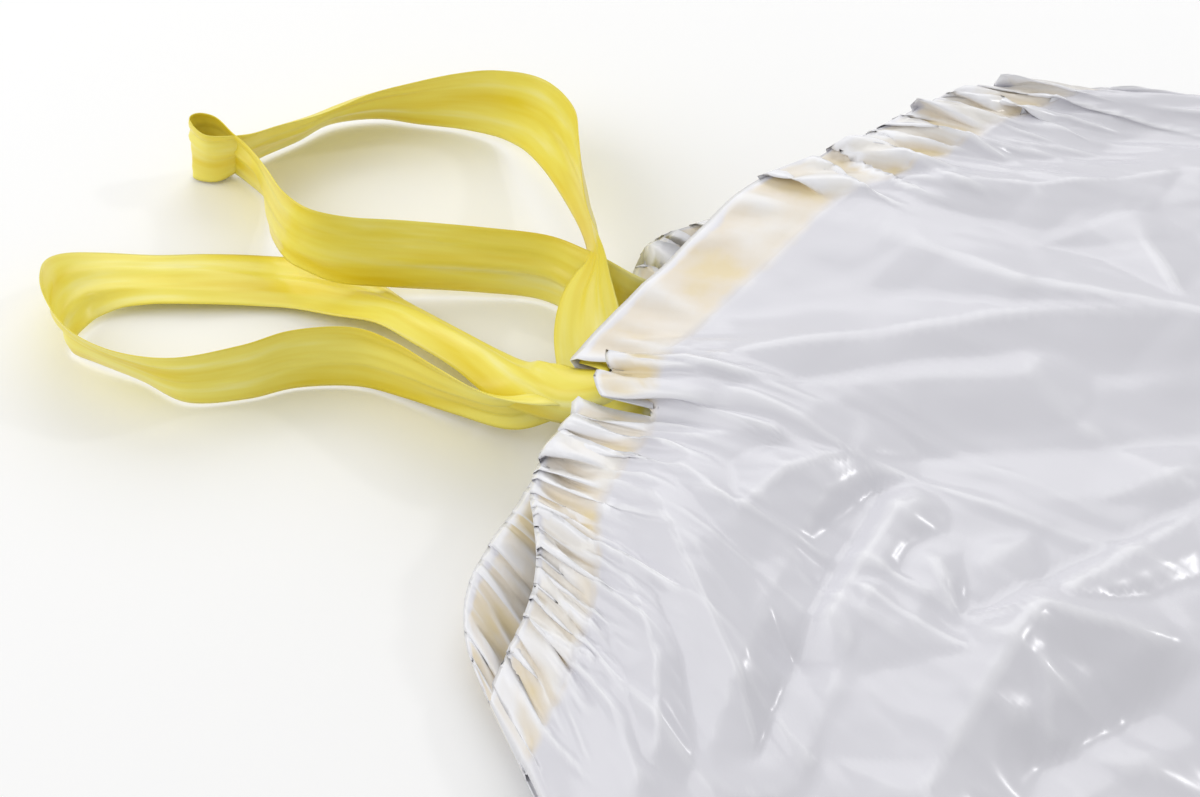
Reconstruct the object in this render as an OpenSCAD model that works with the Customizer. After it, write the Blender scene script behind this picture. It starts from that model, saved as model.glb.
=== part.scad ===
// A drawstring litter tray liner: a flat film bag with a hemmed mouth, and a
// flat drawtape in each hem, pulled out at a thumb notch so the mouth gathers.
// The bag lies on its back with its mouth towards -Y and its bottom towards +Y.
// The underside lies in the plane z = 0, and the origin is near its middle.

/* [Bag] */
// Width of the flat bag, along its bottom fold
flat_w = 914; // [840:1:1000]
// Depth of the flat bag, from its mouth to its bottom fold
bag_depth = 457; // [400:1:540]
// Depth taken up by the folds of the film
slack = 15; // [5:1:30]
// Height of the puffed body above its underside
dome = 62; // [50:1:80]
// Thickness of one ply of film
film_t = 0.9; // [0.6:0.05:1.1]
// Thickness of a sealed edge
seam_t = 2.4; // [2:0.1:4]
// Width of a side seal
seam_w = 6; // [4:0.5:10]

/* [Hem] */
// Depth of the hem at the mouth
hem_w = 38; // [37:0.5:44]
// Width of the seal that closes the hem
seal_w = 2.5; // [1.5:0.5:3]
// Height of a gather where the hem is pulled tight
gather_h = 6; // [2:0.5:7]
// Clearance between a tape and the film around it
tape_gap = 0.35; // [0.3:0.05:0.5]

/* [Drawtape] */
// Width of the tape
tape_w = 32; // [28:0.5:32]
// Thickness of the tape
tape_t = 0.6; // [0.5:0.05:0.8]

/* [Hidden] */

// The origin lies this far behind the middle of the mouth
origin_y = 230;
// Columns across the bag, each side of the middle of the mouth
half_cols = 24;
cols = 2 * half_cols;
// Columns that the thumb notch takes, each side of its middle
notch_cols = 2;
// Rows of the hem: its fold, its tunnel in two parts, and its seal
fold_w = 1.5;
tunnel_w = hem_w - seal_w - fold_w;
hem_rows = [0, fold_w, fold_w + tunnel_w / 2, fold_w + tunnel_w, hem_w];
hem_last = len(hem_rows) - 1;
// Rows of the body, as shares of what is left of the depth
body_shares = [0.05, 0.12, 0.2, 0.29, 0.39, 0.51, 0.65, 0.8, 0.92];
bottom_row_w = 3;
row_mm = concat(hem_rows, [for (s = body_shares) hem_w + s * (bag_depth - hem_w)],
                [bag_depth - bottom_row_w, bag_depth]);
rows = len(row_mm) - 1;
// Surfaces from the underside up: two of each ply of the back and the front
levels = 8;
tunnel_gap = tape_t + 2 * tape_gap;

// Edge of the front hem, from the far side seam to the near one
front_mouth = [
    [-213, 102, 40], [-200, 84, 51], [-184, 70, 56], [-167, 60, 59],
    [-149, 53, 60], [-129, 45, 60], [-108, 34, 60], [-82, 20, 60],
    [-32, 11, 54], [17, 2, 46], [34, 6, 42], [48, 15, 42], [62, 16, 42],
    [77, 18, 42], [91, 23, 42], [102, 31, 40], [112, 38, 38], [122, 43, 34],
    [134, 46, 30], [147, 47, 25], [160, 46, 12]];
// Edge of the back hem, which slips out below the front one
back_mouth = [
    [-213, 102, 36], [-196, 84, 30], [-180, 66, 24], [-163, 48, 20],
    [-146, 32, 18], [-128, 17, 18], [-110, 5, 18], [-92, -7, 18],
    [-76, -18, 16], [-52, -16, 14], [-8, -4, 12], [36, 2, 12], [56, 6, 14],
    [72, 9, 16], [86, 11, 17], [98, 12, 18], [110, 13, 17], [122, 15, 16],
    [134, 20, 14], [147, 30, 10.5], [160, 46, 8]];
// Middle of the bottom fold, and the direction along it
bottom_mid = [-15, bag_depth - slack];
bottom_dir = [0.9976, -0.07];
// Height of the far and the near side seam at the mouth
far_seam_z = 36;
near_seam_z = 8;
// Folds of the body: start, end, height and half width
folds = [
    [[-88, 70], [-112, 220], 12, 26], [[21, 48], [-103, 201], 12, 28],
    [[77, 63], [141, 139], 12, 22], [[141, 139], [165, 157], 12, 22],
    [[74, 72], [62, 101], 8, 20], [[50, 99], [45, 132], 8, 20],
    [[45, 145], [133, 149], -10, 24], [[70, 212], [159, 214], 14, 30],
    [[70, 212], [59, 265], 14, 30], [[80, 191], [-4, 244], -8, 26],
    [[126, 72], [184, 132], 9, 20], [[-60, 250], [-190, 330], 8, 34],
    [[150, 260], [240, 350], 8, 34]];
// Waves that run on from the gathers into the body
wave_count = 9;
wave_h = 3.5;

// Route of the front tape's loop: a point of its middle, its lean, and how far
// its two halves are folded together about the middle
front_loop = [
    [33, 22, 42, 60, 40], [38, 8, 38, 40, 45], [34, -9, 33, 60, 40],
    [29, -24, 26, 95, 35], [20, -43, 19, 112, 30], [13, -67, 15, 116, 28],
    [7, -90, 11, 116, 22], [4, -115, 6, 100, 10], [6, -137, 4, 93, 4],
    [14, -156, 4, 92, 4], [25, -175, 5, 92, 4], [37, -195, 5, 92, 4],
    [48, -208, 7, 80, 4], [62, -213, 12, 52, 3], [78, -208, 17, 24, 0],
    [88, -200, 17, 12, 0], [92, -184, 17, 24, 3], [91, -163, 16, 26, 4],
    [88, -140, 17, 12, 4], [72, -121, 17, 4, 4], [56, -108, 17, 0, 4],
    [43, -88, 17, -3, 4], [41, -68, 18, 2, 4], [43, -45, 20, 12, 6],
    [44, -20, 23, 20, 14], [39, -4, 29, 30, 30], [32, 7, 34, 42, 44],
    [27, 17, 38, 60, 42], [29, 26, 40, 76, 30], [36, 29, 41, 88, 10]];
// Route of the back tape's loop, in the same form
back_loop = [
    [-38, 2, 13, 66, 10], [-34, -12, 16, 44, 12], [-38, -32, 17, 20, 10],
    [-39, -50, 17, 14, 6], [-29, -74, 18, 14, 6], [-13, -102, 21, 14, 6],
    [1, -120, 26, 12, 5], [6, -135, 29, 8, 4], [2, -149, 28, 8, 2],
    [-12, -167, 23, 4, 0], [-28, -184, 18, -10, 0], [-34, -197, 17, -10, 0],
    [-38, -210, 17, -6, 0], [-36, -219, 17, -6, 0], [-29, -219, 17, -4, 0],
    [-28, -208, 17, 10, 0], [-38, -199, 17, 22, 2], [-51, -194, 16, 29, 3],
    [-67, -186, 15, 34, 4], [-81, -180, 15, 38, 4], [-94, -168, 16, 30, 4],
    [-103, -153, 17, 17, 4], [-113, -136, 18, 2, 4], [-119, -119, 19, -14, 4],
    [-117, -100, 22, -32, 4], [-103, -79, 27, -28, 4], [-81, -59, 34, -12, 6],
    [-59, -41, 40, 0, 10], [-43, -29, 42, 0, 14], [-32, -22, 38, -25, 14],
    [-22, -18, 32, -45, 12], [-9, -10, 26, -58, 12], [7, 4, 19, -72, 8],
    [19, 16, 13, -86, 2]];
// Rings of a loop for each point of its route
loop_steps = 2;
// Share of a column by which a tape comes straight out of its tunnel
stub = 0.35;

function clamp01(t) = min(1, max(0, t));
function ease(t) = let (c = clamp01(t)) c * c * (3 - 2 * c);
function mix(a, b, t) = a + (b - a) * t;
function unit(a) = a / norm(a);
function sum(list, i = 0) = i >= len(list) ? 0 : list[i] + sum(list, i + 1);
// A smooth curve through a list of points, one step of t to each point
function curve(p, t) =
    let (n = len(p) - 1, i = min(n - 1, max(0, floor(t))), f = t - i,
         a = i > 0 ? p[i - 1] : 2 * p[0] - p[1], b = p[i], c = p[i + 1],
         d = i < n - 1 ? p[i + 2] : 2 * p[n] - p[n - 1])
    (2 * b + (c - a) * f + (2 * a - 5 * b + 4 * c - d) * f * f
     + (3 * b - a - 3 * c + d) * f * f * f) / 2;

// The bag is a lattice: u runs from one side seam to the other, -1 to 1, and v
// from the mouth to the bottom fold, 0 to 1
function mouth(front, u) =
    let (p = front ? front_mouth : back_mouth) curve(p, (u + 1) * (len(p) - 1) / 2);
function place(front, u, v) =
    let (m = mouth(front, u)) mix([m[0], m[1]], bottom_mid + bottom_dir * (u * flat_w / 2), v);
function seam_rise(u, v) =
    pow(1 - v, 1.3) * (far_seam_z * ease((-u - 0.7) / 0.3) + near_seam_z * ease((u - 0.7) / 0.3));
function fold_rise(p, f) =
    let (run = f[1] - f[0], t = clamp01(((p - f[0]) * run) / (run * run)),
         away = norm(p - mix(f[0], f[1], t)))
    f[2] * pow(max(0, 1 - away / f[3]), 1.4);
function wave_rise(u, v) =
    wave_h * sin(360 * wave_count * u) * ease(v / 0.1) * ease((0.6 - v) / 0.5);
function top_z(u, v) =
    let (puff = pow(max(0, 1 - pow(abs(u), 2.6)), 0.6) * pow(max(0, 1 - v), 0.55),
         p = place(true, u, v), inside = ease((1 - abs(u)) / 0.2) * ease((1 - v) / 0.15))
    seam_rise(u, v) + seam_t + dome * puff
    + inside * (sum([for (f = folds) fold_rise(p, f)]) + wave_rise(u, v));
function front_z(u, v) = mix(mouth(true, u)[2], top_z(u, v), ease(v / 0.2));
function back_z(u, v) = mix(mouth(false, u)[2], seam_rise(u, v), ease(v / 0.14));
// The tighter the hem is drawn, the higher its gathers stand
function tightness(front, u) =
    let (s = 0.05, drawn = norm(mouth(front, min(1, u + s)) - mouth(front, max(-1, u - s))))
    clamp01(1.15 - drawn / (s * flat_w)) * ease((1 - abs(u)) / 0.15);
function gather(front, i, u, v) =
    i % 2 == 0 ? 0
    : gather_h * tightness(front, u) * ease((0.3 - v) / 0.28) * (0.75 + 0.25 * sin(i * 127));

function u_of(i) =
    i == 0 ? -1 : i == cols ? 1
    : i == 1 ? 2 * seam_w / flat_w - 1 : i == cols - 1 ? 1 - 2 * seam_w / flat_w
    : i / half_cols - 1;
function v_of(j) = row_mm[j] / bag_depth;
function is_pinched(i) = i <= 1 || i >= cols - 1;
function is_edge(i, j) = i == 0 || i == cols || j == rows;

// Heights of the eight surfaces at a column and a row
function heights(i, j) =
    let (u = u_of(i), v = v_of(j), low = back_z(u, v), high = front_z(u, v),
         total = is_edge(i, j) ? seam_t : high - low,
         up = gather(true, i, u, v), down = 0.3 * up, lift = 0.6 * gather(false, i, u, v))
    is_pinched(i) || j == rows ? [for (k = [0:levels - 1]) low + total * k / (levels - 1)]
    : j > hem_last
    ? concat([low], [for (k = [0:5]) mix(low + film_t, high - film_t + up, k / 5)], [high + up])
    : [low, low + film_t, low + film_t + tunnel_gap + lift, low + 2 * film_t + tunnel_gap + lift,
       high - 2 * film_t - tunnel_gap - down, high - film_t - tunnel_gap - down,
       high - film_t + up, high + up];
function column(i, j) =
    let (b = place(false, u_of(i), v_of(j)), f = place(true, u_of(i), v_of(j)), h = heights(i, j))
    [for (k = [0:levels - 1])
        let (p = k < levels / 2 ? b : f) [p[0], p[1] - origin_y, h[k]]];
function is_notch(i, j) = abs(i - half_cols + 0.5) < notch_cols && j < hem_last - 1;
function is_film(i, j, c) =
    i < 0 || i >= cols || j < 0 || j >= rows || c < 0 || c >= levels - 1 ? false
    : i == 0 || i == cols - 1 || j == rows - 1 ? true
    : is_notch(i, j) ? false
    : j >= hem_last ? c == 0 || c == 6
    : c == 1 || c == 5 ? j == 0 || j == hem_last - 1 : c != 3;
function index(i, j, k) = (i * (rows + 1) + j) * levels + k;
// The six sides of a cell: the way out, and the corners of that side
SIDES = [
    [[-1, 0, 0], [[0, 0, 0], [0, 0, 1], [0, 1, 1], [0, 1, 0]]],
    [[1, 0, 0], [[1, 0, 0], [1, 1, 0], [1, 1, 1], [1, 0, 1]]],
    [[0, -1, 0], [[0, 0, 0], [1, 0, 0], [1, 0, 1], [0, 0, 1]]],
    [[0, 1, 0], [[0, 1, 0], [0, 1, 1], [1, 1, 1], [1, 1, 0]]],
    [[0, 0, -1], [[0, 0, 0], [0, 1, 0], [1, 1, 0], [1, 0, 0]]],
    [[0, 0, 1], [[0, 0, 1], [1, 0, 1], [1, 1, 1], [0, 1, 1]]]];

module liner_bag() {
    points = [for (i = [0:cols]) for (j = [0:rows]) each column(i, j)];
    faces = [for (i = [0:cols - 1]) for (j = [0:rows - 1]) for (c = [0:levels - 2])
        if (is_film(i, j, c))
            for (s = SIDES)
                if (!is_film(i + s[0][0], j + s[0][1], c + s[0][2]))
                    let (q = [for (n = s[1]) index(i + n[0], j + n[1], c + n[2])])
                    each [[q[0], q[2], q[1]], [q[0], q[3], q[2]]]];
    color([0.92, 0.92, 0.94]) polyhedron(points, faces);
}

// The middle of the tunnel at a column and a row of the hem
function tunnel_point(front, i, j) =
    let (u = u_of(i), v = v_of(j), p = place(front, u, v), half = film_t + tunnel_gap / 2)
    [p[0], p[1], front ? front_z(u, v) - half : back_z(u, v) + half];
// A ring is the tape's two edges and its middle, the way through its face, and
// which way its faces are split, so that they follow those of the film
function tunnel_ring(front, i, fold_first) =
    let (play = (tunnel_w - tape_w) / tunnel_w, middle = tunnel_point(front, i, 2),
         fold = mix(tunnel_point(front, i, 1), middle, play),
         seal = mix(tunnel_point(front, i, 3), middle, play))
    fold_first ? [seal, middle, fold, [0, 0, -1], true] : [fold, middle, seal, [0, 0, 1], false];
function loop_ring(route, t) =
    let (p = curve(route, t), q = curve(route, t + 0.05), o = curve(route, t - 0.05),
         run = unit([q[0] - o[0], q[1] - o[1], q[2] - o[2]]),
         side = unit(cross(run, [0, 0, 1])), up = cross(side, run),
         wide = up * cos(p[3]) + side * sin(p[3]), out = cross(run, wide),
         middle = [p[0], p[1], p[2]], half = tape_w / 2,
         reach = wide * half * cos(p[4]), sink = out * half * sin(p[4]) / 2)
    [middle - reach + sink, middle - sink, middle + reach + sink, out, true];
// A closed strip through a list of rings
module tape(rings) {
    shift = [0, -origin_y, 0];
    points = [for (r = rings) each [
        for (k = [0:2]) r[k] + shift - r[3] * tape_t / 2,
        for (k = [2:-1:0]) r[k] + shift + r[3] * tape_t / 2]];
    last = len(rings) - 1;
    walls = [for (i = [0:last - 1]) for (k = [0:5])
        let (a = 6 * i + k, b = 6 * i + (k + 1) % 6)
        each rings[i][4] == k < 3 ? [[a, a + 6, b], [a + 6, b + 6, b]]
                                  : [[a, a + 6, b + 6], [a, b + 6, b]]];
    ends = [for (base = [0, 6 * last])
        let (q = [[0, 1, 4], [0, 4, 5], [1, 2, 3], [1, 3, 4]])
        for (f = q) base == 0 ? [base + f[0], base + f[1], base + f[2]]
                              : [base + f[0], base + f[2], base + f[1]]];
    color([0.87, 0.80, 0.22]) polyhedron(points, concat(walls, ends));
}
// A tape runs from the far seam to the notch, round its loop, and on to the near seam
module drawtape(front, route, far_fold_first, near_fold_first) {
    far_last = half_cols - notch_cols;
    near_first = half_cols + notch_cols;
    steps = (len(route) - 1) * loop_steps;
    far_cols = concat([for (i = [2:far_last]) i], far_last + stub);
    near_cols = concat(near_first - stub, [for (i = [near_first:cols - 2]) i]);
    tape(concat([for (i = far_cols) tunnel_ring(front, i, far_fold_first)],
                [for (s = [0:steps]) loop_ring(route, s / loop_steps)],
                [for (i = near_cols) tunnel_ring(front, i, near_fold_first)]));
}
module front_drawtape() { drawtape(true, front_loop, true, true); }
module back_drawtape() { drawtape(false, back_loop, true, false); }

liner_bag();
front_drawtape();
back_drawtape();
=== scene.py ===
# A drawstring litter tray liner, lying on a pale floor with its mouth drawn in and
# its two yellow drawtapes pulled out as loops. One section for each piece.
import math
import bpy
import numpy as np
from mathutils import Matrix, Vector
from mathutils.bvhtree import BVHTree
from mathutils.geometry import delaunay_2d_cdt


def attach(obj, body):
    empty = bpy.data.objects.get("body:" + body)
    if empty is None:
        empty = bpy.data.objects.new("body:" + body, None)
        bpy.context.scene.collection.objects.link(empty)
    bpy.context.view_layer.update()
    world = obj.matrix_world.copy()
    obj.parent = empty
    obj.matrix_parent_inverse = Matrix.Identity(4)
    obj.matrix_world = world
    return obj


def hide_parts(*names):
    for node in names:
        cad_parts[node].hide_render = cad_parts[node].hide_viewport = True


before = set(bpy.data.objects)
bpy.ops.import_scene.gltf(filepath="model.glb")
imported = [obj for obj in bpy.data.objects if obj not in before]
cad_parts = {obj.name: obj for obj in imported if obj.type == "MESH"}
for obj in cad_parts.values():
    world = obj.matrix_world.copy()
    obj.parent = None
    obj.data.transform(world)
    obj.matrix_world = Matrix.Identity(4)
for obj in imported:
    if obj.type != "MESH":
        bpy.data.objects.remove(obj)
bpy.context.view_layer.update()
MM = 0.001


# The camera looks down on the mouth from the bottom end of the bag, 45 degrees up,
# and keeps the mouth and the loops left of the middle.
aim = Vector((0, -0.230, 0))
camera_turn, camera_rise, camera_away = math.radians(120), math.radians(45), 1.1333
view_from = Vector((math.sin(camera_turn) * math.cos(camera_rise),
                    -math.cos(camera_turn) * math.cos(camera_rise),
                    math.sin(camera_rise)))
camera_data = bpy.data.cameras.new("camera")
camera_data.lens = 85
camera_data.sensor_width = 36
camera_data.clip_end = 20
camera = bpy.data.objects.new("camera", camera_data)
camera.location = aim + view_from * camera_away
camera.rotation_euler = (-view_from).to_track_quat("-Z", "Y").to_euler()
bpy.context.scene.collection.objects.link(camera)
bpy.context.scene.camera = camera
bpy.context.scene.view_settings.view_transform = "Standard"


# The film bag: one web of thin white film, folded at the bottom and heat sealed up
# both sides. This part gives its shape: the two mouth edges, the puffed body and
# its folds, in millimetres from the middle of the mouth.
flat_w, bag_depth, slack = 914, 457, 15
dome, film_t, seam_t = 62, 0.9, 2.4
hem_w, seal_w, fold_w = 38, 2.5, 1.5
origin_y = 230
front_mouth = [
    [-213, 102, 40], [-200, 84, 51], [-184, 70, 56], [-167, 60, 59],
    [-149, 53, 60], [-129, 45, 60], [-108, 34, 60], [-82, 20, 60],
    [-32, 11, 54], [17, 2, 46], [34, 6, 42], [48, 15, 42], [62, 16, 42],
    [77, 18, 42], [91, 23, 42], [102, 31, 40], [112, 38, 38], [122, 43, 34],
    [134, 46, 30], [147, 47, 25], [160, 46, 12]]
back_mouth = [
    [-213, 102, 36], [-196, 84, 30], [-180, 66, 24], [-163, 48, 20],
    [-146, 32, 18], [-128, 17, 18], [-110, 5, 18], [-92, -7, 18],
    [-76, -18, 16], [-52, -16, 14], [-8, -4, 12], [36, 2, 12], [56, 6, 14],
    [72, 9, 16], [86, 11, 17], [98, 12, 18], [110, 13, 17], [122, 15, 16],
    [134, 20, 14], [147, 30, 10.5], [160, 46, 8]]
bottom_mid, bottom_dir = [-15, bag_depth - slack], [0.9976, -0.07]
far_seam_z, near_seam_z = 36, 8
body_folds = [
    [[75, 61], [113, 103], 7, 9, 24], [[113, 103], [139, 135], 9, 9, 24],
    [[139, 135], [160, 154], 9, 6, 24], [[87, 49], [143, 105], 5, 8, 16],
    [[143, 105], [171, 121], 8, 6, 16], [[72, 60], [66, 72], 7, 8, 20],
    [[66, 72], [76, 100], 8, 5, 18], [[52, 63], [34, 94], 5, 5, 20],
    [[25, 71], [28, 118], 4, 7, 26], [[76, 100], [50, 107], 5, 8, 22],
    [[50, 107], [27, 123], 8, 7, 26], [[42, 147], [97, 148], 8, 6, 20],
    [[81, 148], [86, 173], 6, 7, 24], [[86, 173], [90, 212], 7, 9, 26],
    [[59, 171], [76, 188], 6, 7, 20], [[76, 188], [60, 210], 7, 13, 26],
    [[60, 210], [149, 209], 13, 9, 40], [[60, 210], [114, 239], 13, 3, 30],
    [[60, 210], [42, 262], 13, 5, 30], [[44, 215], [-20, 240], 10, 6, 26],
    [[21, 48], [-29, 105], 12, 6, 28], [[-29, 105], [-79, 154], 6, 8, 26],
    [[-79, 154], [-106, 200], 8, 10, 28], [[-82, 84], [-85, 138], 4, 9, 30],
    [[-85, 138], [-107, 199], 9, 10, 30], [[-121, 80], [-142, 121], 6, 6, 18],
    [[-142, 121], [-194, 170], 6, 4, 22], [[9, 92], [-46, 161], 3, 5, 24],
    [[-140, 168], [-110, 198], 4, 8, 24], [[136, 67], [182, 120], 4, 5, 16],
    [[-106, 200], [-160, 330], 10, 5, 40], [[42, 262], [60, 380], 6, 3, 40],
    [[149, 209], [230, 300], 9, 4, 40], [[-20, 240], [-70, 350], 6, 6, 40],
    [[114, 239], [150, 350], 4, 6, 40], [[-194, 170], [-300, 290], 5, 6, 40],
    [[200, 170], [300, 300], 5, 5, 36], [[35, 137], [84, 140], -6, -8, 16],
    [[84, 140], [159, 153], -8, -5, 16], [[76, 188], [30, 210], -5, -6, 16],
    [[30, 210], [-25, 238], -6, -4, 18], [[114, 238], [50, 267], -5, -4, 18],
    [[25, 126], [-55, 225], -4, -4, 26]]


def curve(points, t):
    """A smooth curve through a list of points, one step of t to each point."""
    p = np.asarray(points, float)
    p = np.vstack([2 * p[0] - p[1], p, 2 * p[-1] - p[-2]])
    t = np.asarray(t, float)
    i = np.clip(np.floor(t).astype(int), 0, len(p) - 4)
    f = (t - i)[..., None]
    a, b, c, d = p[i], p[i + 1], p[i + 2], p[i + 3]
    return (2 * b + (c - a) * f + (2 * a - 5 * b + 4 * c - d) * f ** 2
            + (3 * b - a - 3 * c + d) * f ** 3) / 2


def ease(t):
    """A smooth step from 0 to 1."""
    t = np.clip(t, 0, 1)
    return t * t * (3 - 2 * t)


def mouth(stations, u):
    """The drawn mouth's edge at u."""
    return curve(stations, (np.asarray(u) + 1) * (len(stations) - 1) / 2)


def place(stations, u, v):
    """Where the flat film's point u, v lies: u from side seam to side seam, -1 to 1,
    and v from the mouth to the bottom fold, 0 to 1."""
    m = mouth(stations, u)[..., :2]
    bottom = np.array(bottom_mid) + np.multiply.outer(u, bottom_dir) * flat_w / 2
    return m + (bottom - m) * np.asarray(v)[..., None]


def seam_rise(u, v):
    """How high the side seams stand near the mouth."""
    return (1 - v) ** 1.3 * (far_seam_z * ease((-u - 0.7) / 0.3)
                             + near_seam_z * ease((u - 0.7) / 0.3))


def fold_rise(p, fold):
    """Height at p of a fold: its start, its end, its height at each and its half width."""
    start, end = np.array(fold[0]), np.array(fold[1])
    run = end - start
    t = np.clip(((p - start) @ run) / (run @ run), 0, 1)
    away = np.linalg.norm(p - (start + t[..., None] * run), axis=-1)
    height = fold[2] + (fold[3] - fold[2]) * t
    return height * np.maximum(0, 1 - away / fold[4]) ** 1.15


def top_z(u, v):
    """The puffed body with its folds."""
    puff = np.maximum(0, 1 - abs(u) ** 2.6) ** 0.6 * np.maximum(0, 1 - v) ** 0.55
    p = place(front_mouth, u, v)
    inside = ease((1 - abs(u)) / 0.2) * ease((1 - v) / 0.15)
    rises = np.array([fold_rise(p, fold) for fold in body_folds])
    folded = np.maximum(0, rises.max(0)) + np.minimum(0, rises.min(0))
    return seam_rise(u, v) + seam_t + dome * puff + inside * folded


def front_z(u, v):
    z = mouth(front_mouth, u)[..., 2]
    return z + (top_z(u, v) - z) * ease(v / 0.2)


def back_z(u, v):
    z = mouth(back_mouth, u)[..., 2]
    return z + (seam_rise(u, v) - z) * ease(v / 0.14)


def drawn_in(stations, u):
    """Length of the drawn mouth for each millimetre of flat film."""
    step = 0.03
    lo, hi = np.maximum(-1, u - step), np.minimum(1, u + step)
    return (np.linalg.norm(mouth(stations, hi) - mouth(stations, lo), axis=-1)
            / ((hi - lo) * flat_w / 2))


# The gathers: where the mouth is drawn tight the hem lies in knife pleats, which lean
# over their neighbours. Each has its own width, height, slant and reach.
pleats_end, pleat_lean, crinkles = 0.975, 0.4, 220
far_pleats_end, back_slack_from = -0.3, 0.25


def tightness(stations, u):
    """The share of its flat length that the mouth keeps at u, and how strongly the film
    gathers for it, 0 to 1."""
    share = float(np.clip(drawn_in(stations, np.array([u]))[0], 0.25, 1))
    return share, ease((1 / share - 1.05) / 0.5)


def pleat_form(x, lean):
    """A pleat's height, and how far it slides the film over, at x across it, -1 to 1."""
    near = abs(x) < 1
    x = np.clip(x, -1, 1)
    height = (1 + np.cos(np.pi * np.clip(x + lean, -1, 1))) / 2
    return near * height, near * np.sin(np.pi * x)


def gathers(stations, u, t, seed, tallest):
    """How far the gathers lift the film at u and t millimetres from the mouth's edge,
    and how far they slide it along the mouth."""
    dice = np.random.default_rng(seed)
    rise, slide = np.zeros(u.shape), np.zeros(u.shape)
    begin = -pleats_end
    while begin < pleats_end:
        wide = dice.choice([dice.uniform(0.02, 0.04), dice.uniform(0.04, 0.085)])
        middle = begin + wide / 2
        kept, tight = tightness(stations, middle)
        strength = tight * dice.uniform(0.4, 1.0)
        if stations is back_mouth and middle > back_slack_from:
            strength *= 0.35
        over = min(1.5, 0.95 / kept - 0.3) * strength * wide / 2 * kept * flat_w / 2
        height = tallest * strength * dice.uniform(0.4, 1.0) * min(1, 0.4 + wide / 0.1)
        reach = 42 + 110 * dice.random() ** 2.5
        slants = (0.02, 0.09) if middle < far_pleats_end else (-0.03, 0.03)
        slant = dice.uniform(*slants)
        side = 1 if dice.random() < 0.7 else -1
        across = (u - middle - slant * t / 60) / (wide / 2)
        form, lies_over = pleat_form(across, pleat_lean * side)
        fade = ease((reach - t) / reach)
        slide -= over * fade * lies_over
        rise += height * fade * form
        begin += wide
    for _ in range(crinkles):
        middle, wide = dice.uniform(-0.95, 0.95), dice.uniform(0.008, 0.02)
        strength = 0.35 + 0.65 * tightness(stations, middle)[1]
        here, reach = dice.uniform(-10, 50), dice.uniform(12, 40)
        slant = dice.uniform(-0.06, 0.06)
        away = abs(u - middle - slant * (t - here) / 60) / wide
        height = dice.uniform(0.8, 2.4) * strength
        along = ease(1.3 - abs(t - here) / reach)
        rise += height * np.maximum(0, 1 - away) ** 0.8 * along
    return rise, slide


# Tucks: long folds that lie over to one side, from a place u, t on the flat film to
# another, with half their flat width, how far they lie over, and their height.
front_tucks = [
    [-0.87, 95, -0.80, 400, 0.055, 12, 3], [-0.72, 150, -0.61, 330, 0.055, 13, 3],
    [-0.66, 290, -0.70, 440, 0.055, 13, 3], [-0.55, 170, -0.47, 400, 0.055, 13, 3],
    [-0.40, 235, -0.41, 425, 0.055, 13, 3], [-0.27, 250, -0.18, 370, 0.055, 13, 3],
    [-0.21, 340, -0.26, 445, 0.05, 12, 3], [-0.05, 270, -0.09, 430, 0.055, 13, 3],
    [0.09, 305, 0.15, 435, 0.05, 13, 3], [0.27, 315, 0.22, 440, 0.05, 13, 3],
    [0.40, 248, 0.49, 390, 0.055, 13, 3], [0.44, 340, 0.38, 448, 0.05, 12, 3],
    [0.58, 205, 0.63, 435, 0.055, 13, 3], [0.72, 150, 0.70, 350, 0.055, 13, 3],
    [0.79, 290, 0.84, 440, 0.055, 13, 3], [0.87, 100, 0.89, 380, 0.055, 11, 3]]
back_tucks = [[-0.88 + 0.16 * k, 45 + 30 * (k % 2), -0.86 + 0.156 * k, 440, 0.06, 13, 5]
              for k in range(12)]


def tucked(u, t, tucks):
    """How far the tucks lift the film, and how far they slide it over."""
    rise, slide = np.zeros(u.shape), np.zeros(u.shape)
    for u0, t0, u1, t1, half, over, height in tucks:
        s = (t - t0) / (t1 - t0)
        taper = ease(s / 0.3) * ease((1 - s) / 0.4)
        form, lies_over = pleat_form((u - u0 - (u1 - u0) * s) / half, pleat_lean)
        slide -= over * taper * lies_over
        rise += height * taper * form
    return rise, slide


follow_end, follow_fade = 68, 30


def pleated(stations, u, t, z, seed, tallest, lift_share):
    """The ply's points with its gathers and tucks added, and their height. As far as
    follow_end the film lies on the surface of the place that they slide it to."""
    front = stations is front_mouth
    rise, slide = gathers(stations, u, t, seed, tallest)
    tuck_rise, tuck_slide = tucked(u, t, front_tucks if front else back_tucks)
    rise, slide = rise + tuck_rise, slide + tuck_slide
    step = 0.01
    ahead, behind = np.clip(u + step, -1, 1), np.clip(u - step, -1, 1)
    tangent = (mouth(stations, ahead) - mouth(stations, behind))[..., :2]
    tangent /= np.linalg.norm(tangent, axis=-1)[..., None]
    v = t / bag_depth
    flat = place(stations, u, v) + tangent * slide[..., None]
    surface = front_z if front else back_z
    beside = np.clip(u + slide / (drawn_in(stations, u) * flat_w / 2), -1, 1)
    z = z + ease((follow_end - t) / follow_fade) * (surface(beside, v) - surface(u, v))
    return np.dstack([flat, z + lift_share * rise]), rise


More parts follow.
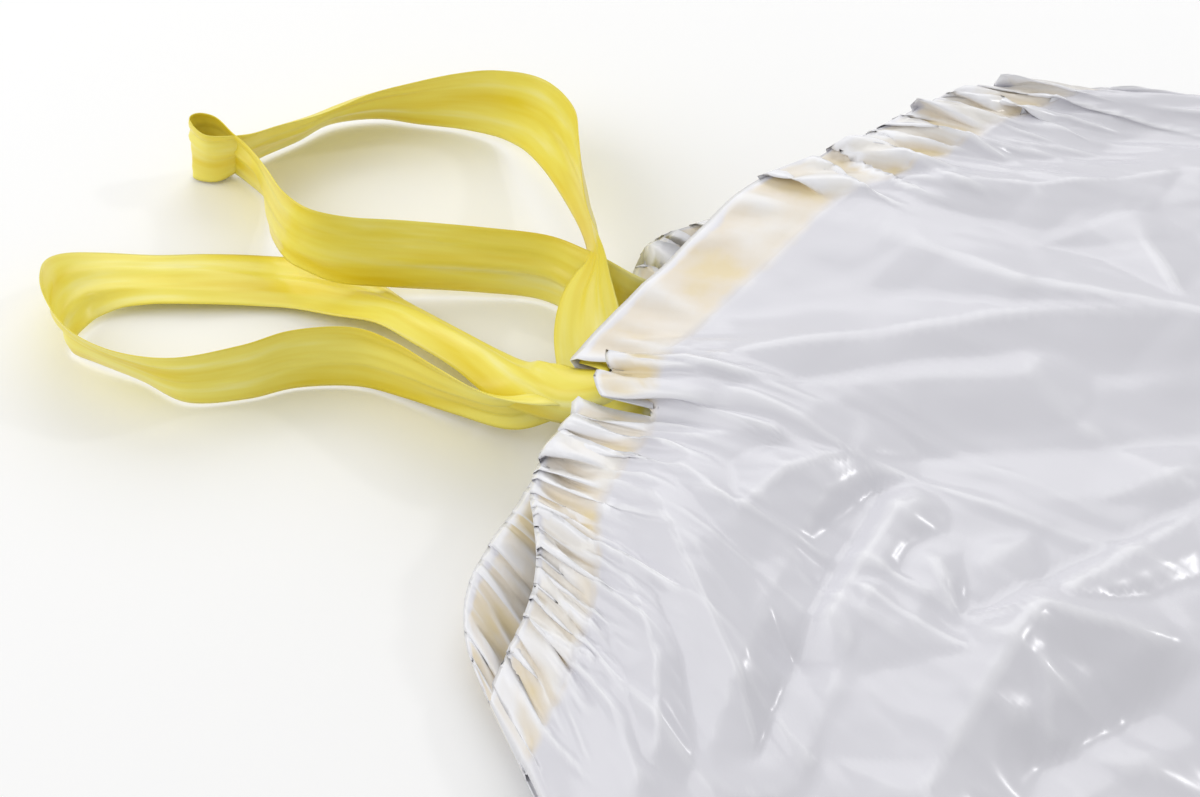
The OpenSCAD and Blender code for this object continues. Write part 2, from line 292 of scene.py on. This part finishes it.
def ridges(u, t, seed, count):
    """Height of long low folds that run on from the gathers into the body."""
    dice = np.random.default_rng(seed)
    rise = np.zeros(u.shape)
    for _ in range(count):
        here, begin = dice.uniform(-0.85, 0.85), dice.uniform(20, 300)
        reach, slant = dice.uniform(60, 190), dice.uniform(-0.12, 0.12)
        wide, height = dice.uniform(0.025, 0.06), dice.uniform(1.5, 4.5)
        s = (t - begin) / reach
        taper = np.maximum(0, np.minimum(1, 4 * s) * (1 - s)) * (s > 0) * (s < 1)
        away = abs(u - here - slant * s) / (wide * (0.4 + 0.6 * np.clip(s, 0, 1)))
        rise += height * taper * np.maximum(0, 1 - away) ** 1.4
    return rise


def facets(u, t, seed, wide, long, height, both_ways):
    """Height of flat facets with sharp creases between them, as in crumpled film. They
    go down as well as up, or up only where the film lies on the floor."""
    dice = np.random.default_rng(seed)
    spots, levels = [], []
    for i in range(-2, int(flat_w / wide) + 4):
        for j in range(-2, int(bag_depth / long) + 4):
            x = (i + dice.uniform(-0.45, 0.45) + 0.5 * (j % 2)) * wide - flat_w / 2
            y = (j + dice.uniform(-0.45, 0.45)) * long
            spots.append(Vector((x, y)))
            levels.append(dice.uniform(-1 if both_ways else 0, 1) * height)
    points, _, faces, source = delaunay_2d_cdt(spots, [], [], 0, 1e-6)[:4]
    corners = [Vector((p.x, p.y, levels[o[0]])) for p, o in zip(points, source)]
    tree = BVHTree.FromPolygons(corners, faces)
    above, straight_down = 100, Vector((0, 0, -1))
    rise = []
    for x, y in zip((u * flat_w / 2).ravel(), t.ravel()):
        hit = tree.ray_cast(Vector((x, y, above)), straight_down)[0]
        rise.append(hit.z if hit else 0)
    return np.array(rise).reshape(u.shape)


# The front ply: the upper side of the bag, of thin white film. Its hem is laid over
# the front tape, turned in under it and heat sealed, and its body runs from the hem's
# seal to the bottom fold.
steps_u, steps_v = 288, 144
notch_u, hem_step = 1 / 12, 3
shown_t = 0.3
front_seed, front_tallest = 11, 5.5
hem_outside, hem_inside, hem_wave = -0.8, -2.4, 2.2
lift_full = 6.5


def flat_grid(steps_u, rows):
    """The flat place of a grid's points: u across, and t down from the mouth's edge."""
    across = np.linspace(-1, 1, steps_u + 1)
    return across[:, None] * np.ones(len(rows)), np.ones(steps_u + 1)[:, None] * rows


def hem_rows():
    """Rows from the mouth's edge to the hem's seal."""
    return np.append(np.arange(0, hem_w - 0.1, hem_step), hem_w)


def body_rows(steps_v):
    """Rows from the hem's seal to the bottom fold, closer together near the mouth."""
    s = np.linspace(0, 1, steps_v + 1)
    return hem_w + (bag_depth - hem_w) * (0.62 * s + 0.38 * s ** 2.4)


def ply_body(stations, height, seed, tallest, steps_u, steps_v, crease, both_ways,
             pull=0, swell=0):
    """A ply from its hem's seal to the bottom fold, with its creases, and how far down
    each of its points is. At the notch it is pulled towards the mouth and swells."""
    u, t = flat_grid(steps_u, body_rows(steps_v))
    drawn = ease((notch_u - abs(u)) / 0.03) * ease((130 - t) / 92)
    ripple = 1.5 * np.sin(u * 110)
    t = t - (pull + 2.5 * np.sin(u * 45) + ripple) * drawn
    body, _ = pleated(stations, u, t, height(u, t / bag_depth), seed, tallest, 1)
    body[..., 2] += (swell + ripple) * drawn
    clear = ease((1 - abs(u)) / 0.08) * ease((t - hem_w) / 30) * ease((bag_depth - t) / 30)
    far_down = 1 + 1.2 * ease((t - 250) / 80)
    crumple = 0.6 * ridges(u, t, seed + 5, 50)
    crumple += facets(u, t, seed + 6, 34, 60, crease, both_ways)
    crumple += facets(u, t, seed + 7, 16, 30, 0.35 * crease, both_ways)
    crumple += facets(u, t, seed + 8, 8, 15, 0.12 * crease, both_ways)
    body[..., 2] += clear * far_down * crumple
    return body, t


def front_ply():
    """Points of the whole ply, from the turned-in edge of its hem round to the bottom
    fold, how far down each is, and how high the gathers lift it."""
    body, body_t = ply_body(front_mouth, front_z, front_seed, front_tallest,
                            steps_u, steps_v, 1.6, True, 24, 7)
    u, t = flat_grid(steps_u, hem_rows())
    z = front_z(u, t / bag_depth)
    over, lift = pleated(front_mouth, u, t, z + hem_outside, front_seed, front_tallest, 1)
    under, _ = pleated(front_mouth, u, t, z + hem_inside, front_seed, front_tallest, -0.3)
    inside = ease(t / 12) * ease((hem_w - t) / 8) * ease((1 - abs(u)) / 0.2)
    under[..., 2] -= hem_wave * inside * (1 + np.sin(u * 230 + 3 * np.sin(u * 17 + t / 15)))
    under[:, -1, 2] = over[:, -1, 2] - 0.4
    over[:, -1] = body[:, 0]
    edge_z = (over[:, 0, 2] + under[:, 0, 2]) / 2 + 0.2 * lift[:, 0]
    over[:, 0, 2] = under[:, 0, 2] = edge_z
    grid = np.concatenate([under[:, :0:-1], over[:, :-1], body], axis=1)
    reach = np.concatenate([t[:, :0:-1], t[:, :-1], body_t], axis=1)
    lifted = np.concatenate([0 * lift[:, :0:-1], lift[:, :-1], 0 * body_t], axis=1)
    return grid, reach, lifted


def thin_piece(name, points, quads, flat):
    """A thin sheet through points in millimetres, with its flat place in a UV map."""
    where = points * MM
    where[:, 1] -= origin_y * MM
    mesh = bpy.data.meshes.new(name)
    mesh.from_pydata(where.tolist(), [], quads.tolist())
    loops = np.empty(len(mesh.loops), int)
    mesh.loops.foreach_get("vertex_index", loops)
    layer = mesh.uv_layers.new(name="flat")
    layer.data.foreach_set("uv", flat[loops].astype(np.float32).ravel())
    mesh.shade_smooth()
    piece = bpy.data.objects.new(name, mesh)
    bpy.context.scene.collection.objects.link(piece)
    wall = piece.modifiers.new("wall", "SOLIDIFY")
    wall.thickness = shown_t * MM
    wall.offset = 0
    return piece


def film_piece(name, grid, reach, lift, turned):
    """A ply without its thumb notch, with the height of its gathers as an attribute."""
    nu, nv = grid.shape[:2]
    number = np.arange(nu * nv).reshape(nu, nv)
    u = np.linspace(-1, 1, nu)
    middle = (u[:-1] + u[1:]) / 2
    row = (reach[0, :-1] + reach[0, 1:]) / 2
    keep = ~((abs(middle)[:, None] < notch_u) & (row[None, :] < hem_w - seal_w))
    corners = [number[:-1, :-1], number[1:, :-1], number[1:, 1:], number[:-1, 1:]]
    if turned:
        corners.reverse()
    quads = np.stack(corners, -1)[keep]
    used = np.unique(quads)
    new_number = np.full(nu * nv, -1)
    new_number[used] = np.arange(len(used))
    flat = np.stack([np.repeat(u, nv) * flat_w / 2 * MM, reach.reshape(-1) * MM], -1)
    piece = thin_piece(name, grid.reshape(-1, 3)[used], new_number[quads], flat[used])
    height = piece.data.attributes.new("lift", "FLOAT", "POINT")
    share = lift.reshape(-1)[used] / lift_full
    height.data.foreach_set("value", share.astype(np.float32))
    return piece


def film_material():
    """Thin glossy white film, which shows cream where the tape lies behind it, with a painted
    highlight lightening the crests of its folds.
    """
    tape_band = [(0.085, 0), (0.115, 1), (0.38, 1), (0.465, 0)]
    band_scale, band_wobble = 10, 0.012
    cream_tones = [(0.0, (0.78, 0.66, 0.42)), (0.5, (0.84, 0.815, 0.78)),
                   (0.16, (0.79, 0.71, 0.59))]
    shaded, lighter = (0.68, 0.675, 0.72), (0.74, 0.735, 0.785)
    # Painted highlight: the near white laid on the convex crests of the folds, and the
    # pointiness where it starts and is full.
    painted_crest_highlight, highlight_starts, highlight_full = (0.90, 0.90, 0.93), 0.503, 0.56
    material = bpy.data.materials.new("film")
    material.use_nodes = True
    nodes, links = material.node_tree.nodes, material.node_tree.links
    surface = nodes["Principled BSDF"]
    surface.inputs["Roughness"].default_value = 0.22
    surface.inputs["Specular IOR Level"].default_value = 0.5
    place_of = nodes.new("ShaderNodeTexCoord")

    def noise(size, detail):
        node = nodes.new("ShaderNodeTexNoise")
        node.inputs["Scale"].default_value = size
        node.inputs["Detail"].default_value = detail
        links.new(place_of.outputs["Object"], node.inputs["Vector"])
        return node.outputs["Fac"]

    def worked_out(operation, value, number, added=None):
        node = nodes.new("ShaderNodeMath")
        node.operation = operation
        links.new(value, node.inputs[0])
        node.inputs[1].default_value = number
        if added:
            links.new(added, node.inputs[2])
        return node.outputs[0]

    def mixed(factor, a, b):
        node = nodes.new("ShaderNodeMix")
        node.data_type = "RGBA"
        links.new(factor, node.inputs["Factor"])
        for name, side in (("A", a), ("B", b)):
            if isinstance(side, tuple):
                node.inputs[name].default_value = (*side, 1)
            else:
                links.new(side, node.inputs[name])
        return node.outputs["Result"]

    def ramp(value, tones):
        node = nodes.new("ShaderNodeValToRGB")
        links.new(value, node.inputs["Fac"])
        stops = node.color_ramp.elements
        for stop, (at, tone) in zip(stops, tones):
            stop.position, stop.color = at, (*tone, 1)
        for at, tone in tones[2:]:
            stops.new(at).color = (*tone, 1)
        return node

    flat = nodes.new("ShaderNodeUVMap")
    flat.uv_map = "flat"
    part = nodes.new("ShaderNodeSeparateXYZ")
    links.new(flat.outputs["UV"], part.inputs[0])
    down = worked_out("MULTIPLY_ADD", noise(55, 3), band_wobble, part.outputs["Y"])
    band = ramp(worked_out("MULTIPLY", down, band_scale),
                [(at, (value,) * 3) for at, value in tape_band])
    band.color_ramp.interpolation = "EASE"
    height = nodes.new("ShaderNodeAttribute")
    height.attribute_name = "lift"
    patches = worked_out("MULTIPLY_ADD", noise(34, 4), 0.9, height.outputs["Fac"])
    cream = ramp(worked_out("SUBTRACT", patches, 0.35), cream_tones)
    white = mixed(noise(6, 4), shaded, lighter)
    hemmed = mixed(band.outputs["Color"], white, cream.outputs["Color"])
    # The fold crests, found by pointiness, are mixed towards near white: a painted highlight
    # along them.
    form = nodes.new("ShaderNodeNewGeometry")
    crest_highlight_ramp = ramp(form.outputs["Pointiness"], [(highlight_starts, (0, 0, 0)), (highlight_full, (1, 1, 1))])
    with_crest_highlight = mixed(crest_highlight_ramp.outputs["Color"], hemmed, painted_crest_highlight)
    links.new(with_crest_highlight, surface.inputs["Base Color"])
    return material


film = film_material()
grid, reach, lift = front_ply()
film_front = film_piece("film_front", grid, reach, lift, False)
film_front.data.materials.append(film)
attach(film_front, "root")
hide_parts("liner_bag")


# The back ply: the under side of the bag, of the same film, flat on the floor. Its hem
# slips out below the front one on the near side, and its turned-in part shows there.
back_steps_u, back_steps_v = 144, 72
back_seed, back_tallest = 23, 2.5
off_floor, turned_in_rise = 0.3, 2.6


def back_ply():
    """Points of the whole ply, from the turned-in edge of its hem to the bottom fold,
    how far down each is, and how high the gathers lift it."""
    u, t = flat_grid(back_steps_u, hem_rows())
    z = back_z(u, t / bag_depth)
    low, _ = pleated(back_mouth, u, t, z + off_floor, back_seed, back_tallest, 0)
    high, lift = pleated(back_mouth, u, t, z + turned_in_rise, back_seed, back_tallest, 0.6)
    high[:, -1, 2] = low[:, -1, 2] + 0.4
    high[:, 0, 2] = low[:, 0, 2] = (high[:, 0, 2] + low[:, 0, 2]) / 2
    body, body_t = ply_body(back_mouth, lambda u, v: back_z(u, v) + off_floor, back_seed,
                            2 * back_tallest, back_steps_u, back_steps_v, 6.5, False)
    low[:, -1] = body[:, 0]
    grid = np.concatenate([high[:, :0:-1], low[:, :-1], body], axis=1)
    reach = np.concatenate([t[:, :0:-1], t[:, :-1],
                            flat_grid(back_steps_u, body_rows(back_steps_v))[1]], axis=1)
    lifted = np.concatenate([0.3 * lift[:, :0:-1], 0 * lift[:, :-1], 0 * body_t], axis=1)
    return grid, reach, lifted


grid, reach, lift = back_ply()
film_back = film_piece("film_back", grid, reach, lift, True)
film_back.data.materials.append(film)
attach(film_back, "root")
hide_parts("liner_bag")


# The drawtapes: flat strips of yellow film, 32 mm wide, which lie loose in the hems
# and are sealed into the side seams. Each is pulled out at the thumb notch as a loop.
tape_w, tunnel_gap = 32, 1.3
tunnel_w = hem_w - seal_w - fold_w
hem_parts, tape_shows = 24, 0.35
front_loop = [
    [33, 22, 42, 60, 40], [38, 8, 38, 40, 45], [34, -9, 33, 60, 40],
    [29, -24, 26, 95, 35], [20, -43, 19, 112, 30], [13, -67, 15, 116, 28],
    [7, -90, 11, 116, 22], [4, -115, 6, 100, 10], [6, -137, 4, 93, 4],
    [14, -156, 4, 92, 4], [25, -175, 5, 92, 4], [37, -195, 5, 92, 4],
    [48, -208, 7, 80, 4], [62, -213, 12, 52, 3], [78, -208, 17, 24, 0],
    [88, -200, 17, 12, 0], [92, -184, 17, 24, 3], [91, -163, 16, 26, 4],
    [88, -140, 17, 12, 4], [72, -121, 17, 4, 4], [56, -108, 17, 0, 4],
    [43, -88, 17, -3, 4], [41, -68, 18, 2, 4], [43, -45, 20, 12, 6],
    [44, -20, 23, 20, 14], [39, -4, 29, 30, 30], [32, 7, 34, 42, 44],
    [27, 17, 38, 60, 42], [29, 26, 40, 76, 30], [36, 29, 41, 88, 10]]
back_loop = [
    [-38, 2, 13, 66, 10], [-34, -12, 16, 44, 12], [-38, -32, 17, 20, 10],
    [-39, -50, 17, 14, 6], [-29, -74, 18, 14, 6], [-13, -102, 21, 14, 6],
    [1, -120, 26, 12, 5], [6, -135, 29, 8, 4], [2, -149, 28, 8, 2],
    [-12, -167, 23, 4, 0], [-28, -184, 18, -10, 0], [-34, -197, 17, -10, 0],
    [-38, -210, 17, -6, 0], [-36, -219, 17, -6, 0], [-29, -219, 17, -4, 0],
    [-28, -208, 17, 10, 0], [-38, -199, 17, 22, 2], [-51, -194, 16, 29, 3],
    [-67, -186, 15, 34, 4], [-81, -180, 15, 38, 4], [-94, -168, 16, 30, 4],
    [-103, -153, 17, 17, 4], [-113, -136, 18, 2, 4], [-119, -119, 19, -14, 4],
    [-117, -100, 22, -32, 4], [-103, -79, 27, -28, 4], [-81, -59, 34, -12, 6],
    [-59, -41, 40, 0, 10], [-43, -29, 42, 0, 14], [-32, -22, 38, -25, 14],
    [-22, -18, 32, -45, 12], [-9, -10, 26, -58, 12], [7, 4, 19, -72, 8],
    [19, 16, 13, -86, 2]]


def tunnel_section(stations, height, sign, u, fold_first):
    """The tape's two edges and middle where it lies in the hem at u."""
    play = (tunnel_w - tape_w) / 2
    rows = np.array([fold_w + play, fold_w + tunnel_w / 2, fold_w + tunnel_w - play])
    v = rows / bag_depth
    uu = np.full(3, u)
    level = height(uu, v) + sign * (film_t + tunnel_gap / 2)
    section = np.column_stack([place(stations, uu, v), level])
    return section if fold_first else section[::-1]


def loop_section(route, i):
    """The tape's two edges and middle at the loop's place i: x, y, z, lean and fold."""
    p = np.array(route[i], float)
    run = (curve(route, i + 0.05) - curve(route, i - 0.05))[:3]
    run /= np.linalg.norm(run)
    side = np.cross(run, [0, 0, 1])
    side /= np.linalg.norm(side)
    up = np.cross(side, run)
    lean, fold = math.radians(p[3]), math.radians(p[4])
    wide = up * math.cos(lean) + side * math.sin(lean)
    out = np.cross(run, wide)
    reach = wide * tape_w / 2 * math.cos(fold)
    sink = out * tape_w / 4 * math.sin(fold)
    return np.array([p[:3] - reach + sink, p[:3] - sink, p[:3] + reach + sink])


def tape_sections(stations, height, sign, route, near_fold_first):
    """The tape from the far side seam through the hem, round its loop and back in."""
    into_notch = notch_u - tape_shows / hem_parts
    far = [tunnel_section(stations, height, sign, u, False)
           for u in np.append(np.arange(-22, -1.5, 1) / hem_parts, -into_notch)]
    near = [tunnel_section(stations, height, sign, u, not near_fold_first)
            for u in np.append(into_notch, np.arange(2, 22.5, 1) / hem_parts)]
    loop = [loop_section(route, i) for i in range(len(route))]
    return np.array(far + loop + near)


tape_across, tape_along = 24, 8
tape_creases, hem_sections = 46, 22.5


def loop_creases(s, last, seed):
    """Height of the lengthwise creases in the loop, at section s of last and across."""
    dice = np.random.default_rng(seed)
    across = np.linspace(-1, 1, tape_across + 1)[None, :]
    rise = np.zeros((len(s), tape_across + 1))
    for _ in range(tape_creases):
        here, reach = dice.uniform(18, last - 17), dice.uniform(1.5, 7)
        at, slant = dice.uniform(-0.8, 0.8), dice.uniform(-0.1, 0.1)
        height, wide = dice.uniform(-1.5, 1.5), dice.uniform(0.12, 0.4)
        away = abs(across - at - slant * (s - here)) / wide
        rise += height * np.maximum(0, 1 - away) * ease(1.2 * (1 - abs(s - here) / reach))
    return rise * (ease((s - hem_sections) / 2) * ease((last - 1 - hem_sections - s) / 2))


def tape_piece(name, sections, seed):
    """The tape as a curved ribbon through its sections, 32 mm wide all along."""
    steps = (len(sections) - 1) * tape_along
    s = np.arange(steps + 1) / tape_along
    rings = curve(sections.reshape(len(sections), 9), s).reshape(-1, 3, 3)
    w = np.linspace(-1, 1, tape_across + 1)[None, :, None]
    a, m, b = rings[:, 0:1], rings[:, 1:2], rings[:, 2:3]
    points = m + w * (b - a) / 2 + w ** 2 * ((a + b) / 2 - m)
    out = np.cross(np.gradient(points, axis=0), np.gradient(points, axis=1))
    out /= np.linalg.norm(out, axis=-1)[..., None]
    points = points + out * loop_creases(s[:, None], len(sections) - 1, seed)[..., None]
    width = np.linalg.norm(np.diff(points, axis=1), axis=-1).sum(1)
    points = m + (points - m) * (tape_w / width)[:, None, None]
    middle_steps = np.linalg.norm(np.diff(points[:, tape_across // 2], axis=0), axis=-1)
    length = np.append(0, np.cumsum(middle_steps))
    nu, nv = points.shape[:2]
    number = np.arange(nu * nv).reshape(nu, nv)
    corners = [number[:-1, :-1], number[1:, :-1], number[1:, 1:], number[:-1, 1:]]
    quads = np.stack(corners, -1).reshape(-1, 4)
    from_middle = np.tile(w.ravel() * tape_w / 2 * MM, nu)
    flat = np.stack([np.repeat(length, nv) * MM, from_middle], -1)
    return thin_piece(name, points.reshape(-1, 3), quads, flat)


def tape_material():
    """Glossy yellow film tape, with random streaks that run along it: darker ones are painted
    crease shade, paler ones painted sheen.
    """
    # Painted shade and sheen: the darker and the paler yellow of the lengthwise streaks stand
    # in for crease shade and glossy patches.
    crease_shade_yellow, yellow, sheen_yellow = (0.82, 0.65, 0.03), (0.90, 0.80, 0.14), (0.93, 0.88, 0.36)
    material = bpy.data.materials.new("tape")
    material.use_nodes = True
    nodes, links = material.node_tree.nodes, material.node_tree.links
    surface = nodes["Principled BSDF"]
    surface.inputs["Roughness"].default_value = 0.3
    flat = nodes.new("ShaderNodeUVMap")
    flat.uv_map = "flat"
    tone = nodes.new("ShaderNodeTexNoise")
    tone.inputs["Scale"].default_value = 30
    tone.inputs["Detail"].default_value = 3
    stretch = nodes.new("ShaderNodeVectorMath")
    stretch.operation = "MULTIPLY"
    stretch.inputs[1].default_value = (0.35, 3, 1)
    links.new(flat.outputs["UV"], stretch.inputs[0])
    links.new(stretch.outputs[0], tone.inputs["Vector"])
    colour = nodes.new("ShaderNodeValToRGB")
    links.new(tone.outputs["Fac"], colour.inputs["Fac"])
    stops = colour.color_ramp.elements
    stops[0].position, stops[0].color = 0.32, (*crease_shade_yellow, 1)
    stops[1].position, stops[1].color = 0.72, (*sheen_yellow, 1)
    stops.new(0.56).color = (*yellow, 1)
    links.new(colour.outputs["Color"], surface.inputs["Base Color"])
    return material


tape = tape_material()
front_sections = tape_sections(front_mouth, front_z, -1, front_loop, True)
back_sections = tape_sections(back_mouth, back_z, 1, back_loop, False)
for name, sections, seed, node in (("tape_front", front_sections, 3, "front_drawtape"),
                                   ("tape_back", back_sections, 4, "back_drawtape")):
    piece = tape_piece(name, sections, seed)
    piece.data.materials.append(tape)
    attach(piece, "root")
    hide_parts(node)


# The studio: a plain pale floor, two large soft lights, and a small one that gives the
# film its thin highlights.
floor_half, floor_grey, world_light = 6, 0.97, 0.62
floor_mesh = bpy.data.meshes.new("floor")
floor_mesh.from_pydata([(x * floor_half, y * floor_half, 0)
                        for x, y in ((-1, -1), (1, -1), (1, 1), (-1, 1))], [], [(0, 1, 2, 3)])
floor = bpy.data.objects.new("floor", floor_mesh)
bpy.context.scene.collection.objects.link(floor)
pale = bpy.data.materials.new("pale_floor")
pale.use_nodes = True
pale_surface = pale.node_tree.nodes["Principled BSDF"]
pale_surface.inputs["Base Color"].default_value = (floor_grey, floor_grey, floor_grey, 1)
pale_surface.inputs["Roughness"].default_value = 0.9
floor_mesh.materials.append(pale)

world = bpy.data.worlds.new("studio")
world.use_nodes = True
background = world.node_tree.nodes["Background"]
background.inputs["Color"].default_value = (1, 1, 1, 1)
background.inputs["Strength"].default_value = world_light
bpy.context.scene.world = world
lit_place = Vector((0, -0.1, 0))


def softbox(name, at, size, power):
    """A square light at a place, turned to the mouth."""
    data = bpy.data.lights.new(name, "AREA")
    data.shape = "SQUARE"
    data.size = size
    data.energy = power
    light = bpy.data.objects.new(name, data)
    light.location = Vector(at)
    towards = lit_place - Vector(at)
    light.rotation_euler = towards.to_track_quat("-Z", "Y").to_euler()
    bpy.context.scene.collection.objects.link(light)


softbox("side_light", (0.8, -1.5, 1.2), 1.5, 12)
softbox("back_light", (-1.4, -0.8, 1.3), 1.5, 10)
softbox("spark_light", (-0.9, 0.5, 1.0), 0.09, 1.8)
